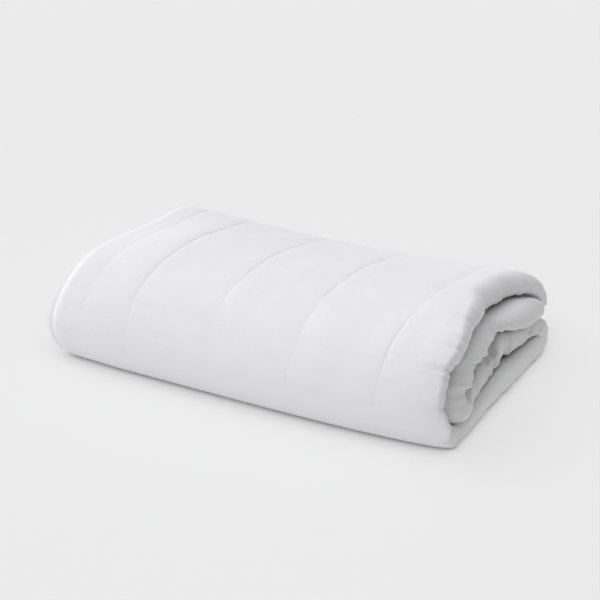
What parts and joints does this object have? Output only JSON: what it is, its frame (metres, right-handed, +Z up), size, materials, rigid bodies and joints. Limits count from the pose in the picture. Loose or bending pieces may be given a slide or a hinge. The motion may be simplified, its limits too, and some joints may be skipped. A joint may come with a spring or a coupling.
{
  "type": "weighted blanket, folded",
  "caption": "Filled cotton blanket quilted in square pockets, folded back and forth into a flat bundle with a round front edge and its layers open at the ends.",
  "frame": {"origin": "on the underside, below the middle of the bundle", "axes": "+X along the bundle towards the fold noses, +Y from the round front edge to the free edge at the back, +Z up"},
  "size_m": [0.615, 0.419, 0.1493],
  "materials": {
    "cotton": "plain white cotton, fine close weave, matt, with stitched seams of the same white"
  },
  "bodies": {
    "root": {"blanket": "cotton"}
  },
  "joints": []
}
